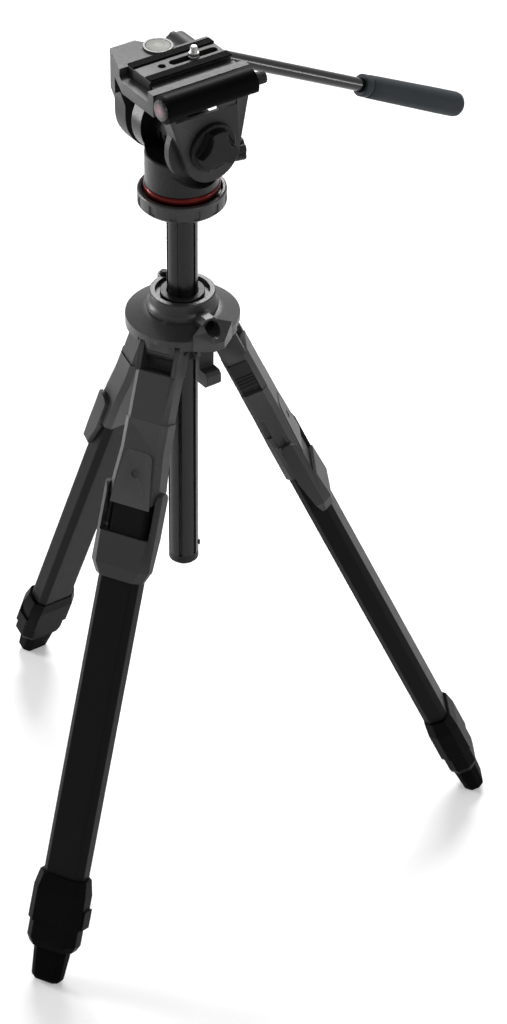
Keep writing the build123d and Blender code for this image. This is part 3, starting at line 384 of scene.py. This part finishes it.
def turned(name, profile, segments=72, thread=(0, 1), ripple=(0, 1)):
    """A lathe-turned mesh of (radius, height) points round Z.

    thread is a depth and a pitch, ripple is the depth and the number of the flutes round it.
    """
    shape = bmesh.new()
    rings = []
    for radius, height in profile:
        ring = []
        for step in range(segments if radius else 1):
            turn = tau * step / segments
            wave = abs((height / thread[1] - step / segments) % 1 - 0.5) * 2
            reach = radius - thread[0] * wave - ripple[0] * (0.5 + 0.5 * cos(ripple[1] * turn))
            ring.append(shape.verts.new((reach * cos(turn), reach * sin(turn), height)))
        rings.append(ring)
    for below, above in zip(rings, rings[1:]):
        for step in range(segments):
            after = (step + 1) % segments
            shape.faces.new(dict.fromkeys((
                below[step % len(below)], below[after % len(below)],
                above[after % len(above)], above[step % len(above)],
            )))
    bmesh.ops.recalc_face_normals(shape, faces=shape.faces)
    return placed(name, shape)


def bridged(name, near, far):
    """A solid between two outlines that match point for point."""
    shape = bmesh.new()
    ends = [[shape.verts.new(corner) for corner in outline] for outline in (near, far)]
    for first in range(len(near)):
        after = (first + 1) % len(near)
        shape.faces.new((ends[0][first], ends[0][after], ends[1][after], ends[1][first]))
    for end in ends:
        shape.faces.new(end)
    bmesh.ops.recalc_face_normals(shape, faces=shape.faces)
    return placed(name, shape)


def rounded(node, width, place=None, flats=True):
    """Makes the CAD node's piece with its edges broken, as cast, moulded and machined parts have them.

    flats merges the facets of each flat face. A flare keeps its facets, for even shading.
    """
    place = place or Matrix.Identity(4)
    shape = bmesh.new()
    shape.from_mesh(frame["nodes"][node].data)
    shape.transform(place.inverted())
    bmesh.ops.remove_doubles(shape, verts=shape.verts, dist=weld_distance)
    if flats:
        bmesh.ops.dissolve_limit(
            shape, angle_limit=radians(flat_tolerance), verts=shape.verts, edges=shape.edges
        )
    piece = placed(node + "_finished", shape)
    piece.matrix_world = place
    bevel = piece.modifiers.new("edges", "BEVEL")
    bevel.width = width
    bevel.segments = edge_segments
    bevel.limit_method = "ANGLE"
    bevel.angle_limit = radians(edge_angle)
    bevel.use_clamp_overlap = True
    weighted = piece.modifiers.new("shading", "WEIGHTED_NORMAL")
    weighted.keep_sharp = True
    graph = bpy.context.evaluated_depsgraph_get()
    finished = bpy.data.meshes.new_from_object(
        piece.evaluated_get(graph), preserve_all_data_layers=True, depsgraph=graph
    )
    piece.modifiers.clear()
    piece.data = finished
    dress(piece, node)


# ---- CAD nodes with their edges broken: edge radius in mm ----
edge_radius = {
    "hub_casting": 0.8, "hub_skirt": 0.9, "hub_ring": 0.6, "release_button": 0.3, "column_bushing": 0.5,
    "column_lock_lever": 1.2, "column_end_cap": 0.4, "mounting_collar": 0.5, "index_ring": 0.3,
    "pan_housing": 0.8, "spring_housing": 0.5, "pan_lock_knob": 0.9, "tilt_frame": 1.1, "tilt_knob": 1.0,
    "bubble_level": 0.5, "plate_lock_barrel": 0.9, "drag_knob": 0.3, "quick_plate": 0.5,
    "bar_clamp": 1.2, "bar_clamp_knob": 0.8, "pan_bar": 0.4,
}
for node, radius in edge_radius.items():
    rounded(node, radius * mm, flats=node != "hub_skirt")

leg_edge_radius = {
    "shoulder": 1.2, "angle_tab": 0.6, "clamp": 1.2, "lever": 1.3, "upper_tube": 0.7, "middle_tube": 0.4,
    "lower_tube": 0.4, "upper_collar": 1.4, "lower_collar": 1.2, "foot": 1.0,
}
for leg in legs:
    for name, radius in leg_edge_radius.items():
        rounded(f"{leg}_{name}", radius * mm, leg_place(leg))

for node, mesh_object in frame["nodes"].items():
    mesh_object.data.materials.clear()
    mesh_object.data.materials.append(finishes[slot_of[node]])
# The socket insert, tilt shaft and hinge pins take the darkened steel, its painted shade standing in for the
# socket bore's shadow.
for node in ("accessory_socket", "tilt_shaft", "hinge_pins"):
    frame["nodes"][node].data.materials[0] = socket_painted_shade_finish
# The clamps take the lighter copy of the leg paint, their light painted in.
for leg in legs:
    bpy.data.objects[leg + "_clamp_finished"].data.materials[0] = painted_light_clamp_finish
bpy.data.objects["pan_housing_finished"].data.materials[0] = turned_finish


# ---- camera screw: flange, knurled collar, threaded stud ----
def camera_screw():
    centre, _ = middle_of("camera_screw")
    plate_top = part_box("quick_plate")[1][2]
    foot = Vector((centre.x, centre.y, plate_top))
    reach = (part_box("camera_screw")[1][2] - plate_top) / mm
    knurls = 24
    knurl_depth = 0.3
    stud_radius = 3.17
    stud_start = 3.0
    thread_depth = 0.5
    pitch = 1.27
    turns = 4
    steps = 8                  # along the stud for each turn of its thread
    flange = turned("screw_flange", in_mm([(0, -0.9), (4.3, -0.9), (4.4, 0.5), (4.2, 0.8), (0, 0.8)]))
    collar = turned("screw_collar", in_mm([
        (0, 0.8), (4.0, 0.8), (4.4, 1.1), (4.4, 2.9), (4.0, 3.2), (0, 3.2)
    ]), segments=6 * knurls, ripple=(knurl_depth * mm, knurls))
    flank = [(stud_radius, stud_start + pitch / steps * step) for step in range(turns * steps + 1)]
    stud = turned("screw_stud", in_mm([
        (0, stud_start), *flank, (2.4, reach - 0.1), (0, reach)
    ]), thread=(thread_depth * mm, pitch * mm))
    for piece in (flange, collar, stud):
        piece.matrix_world = Matrix.Translation(foot)
        dress(piece, "camera_screw")


# ---- glazing of the level and of the barrel's nose ----
def glazing(name, node, place, radius, rise, material):
    """A domed pane; its profile is in shares of its radius and of its rise."""
    profile = [(1, 0), (1, 0.55), (0.96, 0.8), (0.7, 0.93), (0.35, 0.98), (0, 1)]
    glass = turned(name, [(radius * across, rise * up) for across, up in profile])
    glass.matrix_world = place
    dress(glass, node)
    glass.data.materials[0] = material


def level_glazing():
    centre, size = middle_of("level_vial")
    place = Matrix.Translation(centre - Vector((0, 0, size.z / 2)))
    glazing("level_lens", "level_vial", place, size.x / 2, size.z, level_glass)


def barrel_glazing():
    centre, size = middle_of("barrel_cap")
    place = along(Vector((0, -1, 0)), centre + Vector((0, size.y / 2, 0)))
    glazing("barrel_lens", "barrel_cap", place, size.x / 2, size.y, barrel_glass)


# ---- ribbed rubber pads of the quick plate ----
def plate_pads(width, ribs):
    low, high = [Vector(corner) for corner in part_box("plate_pads")]
    groove = 0.35 * mm
    pitch = width / ribs
    rib_profile = [(0.12, 0), (0.66, 0), (0.78, groove), (1, groove)]      # share of the pitch, drop
    for side, start in (("left", low.x), ("right", high.x - width)):
        section = [(start, low.z), (start, high.z - groove)]
        for rib in range(ribs):
            x = start + rib * pitch
            section += [(x + share * pitch, high.z - drop) for share, drop in rib_profile]
        section += [(start + width, low.z)]
        near, far = [[(x, y, z) for x, z in section] for y in (low.y, high.y)]
        dress(bridged(f"pad_{side}", near, far), "plate_pads")


# ---- grip sleeve of the pan bar ----
def grip_sleeve():
    """A rubber sleeve on the bar's long axis, from one end of the CAD grip to the other."""
    corners = numpy.array([corner.co for corner in frame["nodes"]["pan_bar"].data.vertices])
    middle = corners.mean(axis=0)
    direction = Vector(numpy.linalg.svd(corners - middle, full_matrices=False)[2][0])
    if direction.y < 0:
        direction.negate()
    origin = Vector(middle)
    grip = frame["nodes"]["bar_grip"].data.vertices
    heights = [(corner.co - origin).dot(direction) for corner in grip]
    start = min(heights)
    length = (max(heights) - start) / mm
    sleeve = turned("grip_sleeve", in_mm([
        (6.0, 1.5), (6.4, 0.4), (8.2, 0), (9.1, 0.4), (9.5, 1.2), (9.6, 6.8), (9.3, 7.3), (8.9, 7.6),
        (8.9, 8.6), (9.4, 9.0), (9.8, 9.8), (10.0, 20), (10.3, 50), (10.7, 85), (10.8, length - 8),
        (10.7, length - 5), (10.1, length - 2.4), (8.8, length - 0.8), (6.5, length - 0.1), (0, length),
    ]))
    sleeve.matrix_world = along(direction, origin + direction * start)
    dress(sleeve, "bar_grip")


# ---- web that closes the rear of the left cheek's window ----
def window_web():
    barrel_low, barrel_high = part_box("plate_lock_barrel")
    thickness = 3 * mm
    height = 9.5 * mm
    length = 17.6 * mm
    arch = 2.5 * mm            # radius of its front upper corner
    arch_steps = 6
    inset = 0.93 * mm          # in from the end of the tilt shaft
    gap = 0.2 * mm             # under the barrel
    setback = 7.5 * mm         # in from the barrel's back end
    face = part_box("tilt_shaft")[1][0] - inset
    top = barrel_low[2] - gap
    sill = top - height
    back = barrel_high[1] - setback
    front = back - length
    outline = [(back, sill), (back, top), (front - arch, top)]
    for step in range(arch_steps + 1):
        turn = pi / 2 * step / arch_steps
        outline.append((front - arch * (1 - sin(turn)), top - arch * (1 - cos(turn)) - arch))
    outline += [(front, sill)]
    near, far = [[(x, y, z) for y, z in outline] for x in (face - thickness, face)]
    web = bridged("window_web", near, far)
    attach(web, "tilt_unit")
    web.data.materials.append(finishes["head_grey"])


camera_screw()
level_glazing()
barrel_glazing()
plate_pads(width=7.8 * mm, ribs=5)
grip_sleeve()
window_web()


# ---- floor, light and camera ----
def seen(nodes, links, strength, gloss=1.0):
    """That strength for rays from the eye or through glass, and for rays off gloss times gloss.

    Other rays meet nothing, so what the camera sees in the background lights no surface.
    """
    path = nodes.new("ShaderNodeLightPath")
    off_gloss = calculated(nodes, links, "MULTIPLY", path.outputs["Is Glossy Ray"], gloss)
    direct = calculated(nodes, links, "MAXIMUM", path.outputs["Is Camera Ray"], off_gloss)
    any_of = calculated(nodes, links, "MAXIMUM", direct, path.outputs["Is Transmission Ray"])
    return calculated(nodes, links, "MULTIPLY", any_of, strength)


def white_ground():
    """A white floor that takes the object's shadow and fades into the white round it."""
    material, nodes, links = new_material("white_floor")
    shader = nodes["Principled BSDF"]
    place = nodes.new("ShaderNodeTexCoord")
    distance = length_of(nodes, links, place.outputs["Object"])
    far = spread(nodes, links, distance, 0, 1, fade_start, fade_end)
    lit = mixed(nodes, links, far, floor_white, (0, 0, 0, 1))
    links.new(lit, shader.inputs["Base Color"])
    shader.inputs["Roughness"].default_value = floor_roughness
    shader.inputs["Specular IOR Level"].default_value = 0.0
    shader.inputs["Emission Color"].default_value = (1, 1, 1, 1)
    glow = spread(nodes, links, far, floor_glow, 1, 0, 1)
    links.new(seen(nodes, links, glow), shader.inputs["Emission Strength"])
    bpy.ops.mesh.primitive_plane_add(size=floor_size)
    floor = bpy.context.object
    floor.name = "floor"
    floor.data.materials.append(material)


def white_world():
    """An even white room. What gloss mirrors of it darkens from near the horizon upwards."""
    world = bpy.data.worlds.new("studio")
    world.use_nodes = True
    bpy.context.scene.world = world
    nodes = world.node_tree.nodes
    links = world.node_tree.links
    background = nodes["Background"]
    background.inputs["Color"].default_value = (1, 1, 1, 1)
    place = nodes.new("ShaderNodeTexCoord")
    height = nodes.new("ShaderNodeSeparateXYZ")
    links.new(place.outputs["Generated"], height.inputs["Vector"])
    gloss = spread(nodes, links, height.outputs["Z"], 1, ceiling, ceiling_start, ceiling_end)
    white = seen(nodes, links, 1 - ambient, gloss)
    links.new(calculated(nodes, links, "ADD", white, ambient), background.inputs["Strength"])


def softbox(name, place, size, power):
    data = bpy.data.lights.new(name, "AREA")
    data.shape = "RECTANGLE"
    data.size, data.size_y = size
    data.energy = power
    lamp = bpy.data.objects.new(name, data)
    bpy.context.scene.collection.objects.link(lamp)
    lamp.location = to_view(*place)
    aim = to_view(*lamp_target) - to_view(*place)
    lamp.rotation_euler = aim.to_track_quat("-Z", "Y").to_euler()


def portrait_camera():
    data = bpy.data.cameras.new("portrait")
    data.sensor_fit = "AUTO"
    data.sensor_width = sensor_height      # AUTO lays it along the picture's longer side, its height
    data.lens = focal_length
    data.shift_x = axis_shift
    camera = bpy.data.objects.new("portrait", data)
    bpy.context.scene.collection.objects.link(camera)
    camera.location = to_view(camera_side, -camera_distance, camera_height)
    camera.rotation_euler = (radians(90 - camera_pitch), 0, radians(camera_azimuth))
    bpy.context.scene.camera = camera


white_ground()
white_world()
for name, lamp in lamps.items():
    softbox(name, **lamp)
portrait_camera()
bpy.context.scene.view_settings.view_transform = "Standard"

bpy.context.view_layer.update()
